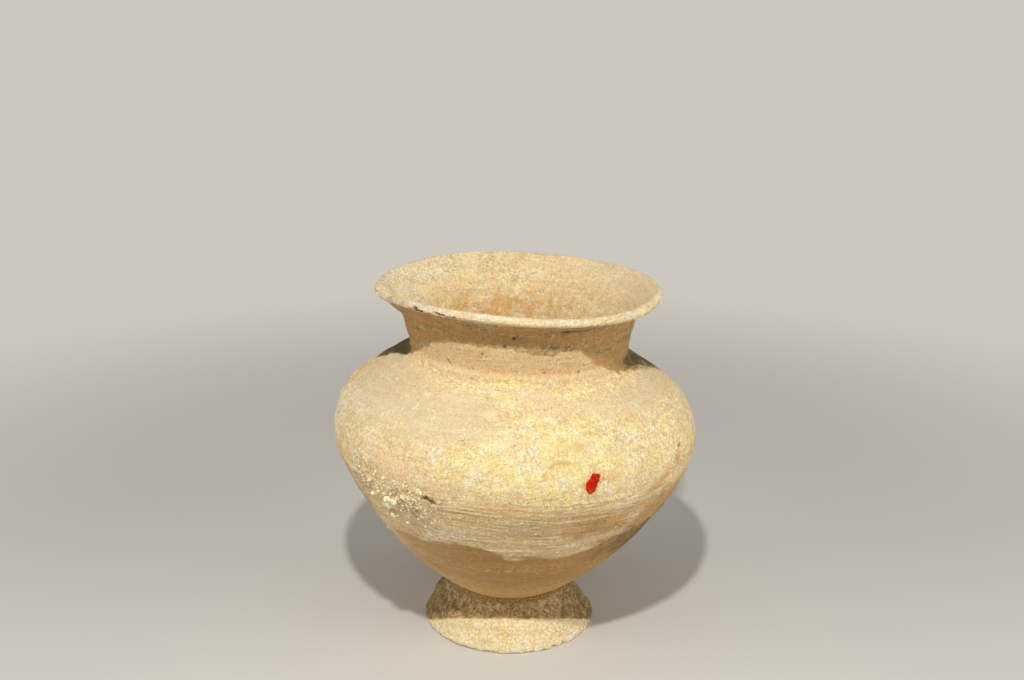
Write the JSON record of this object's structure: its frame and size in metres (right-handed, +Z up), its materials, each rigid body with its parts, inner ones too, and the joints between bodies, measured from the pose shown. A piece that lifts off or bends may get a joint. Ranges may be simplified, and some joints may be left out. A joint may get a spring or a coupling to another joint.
{
  "type": "footed jar",
  "caption": "Wide-bellied buff clay jar with a short neck, flared rounded lip and low pedestal foot, built from luted thrown sections, with lime crust and a dab of red paint.",
  "frame": {"origin": "centre of the foot's resting plane", "axes": "+Z up, +X to the right of the pictured front, -Y towards the viewer"},
  "size_m": [0.1816, 0.1818, 0.1828],
  "materials": {
    "buff_clay": "unglazed buff earthenware, matt, limy bloom over wheel marks",
    "luting_slip": "fired slip in the joints, matt",
    "lime_crust": "rough chalky lime crust",
    "red_paint": "thin glossy red paint"
  },
  "bodies": {
    "root": {"pedestal_foot": "buff_clay", "foot_luting_slip": "luting_slip", "lower_bowl": "buff_clay", "lower_luting_slip": "luting_slip", "belly_wall": "buff_clay", "belly_luting_slip": "luting_slip", "shoulder_dome": "buff_clay", "neck_luting_slip": "luting_slip", "neck_fillet_coil": "buff_clay", "neck_collar": "buff_clay", "lip_luting_slip": "luting_slip", "rim_lip": "buff_clay", "lime_crust_lumps": "lime_crust", "red_paint_dab": "red_paint"}
  },
  "joints": []
}
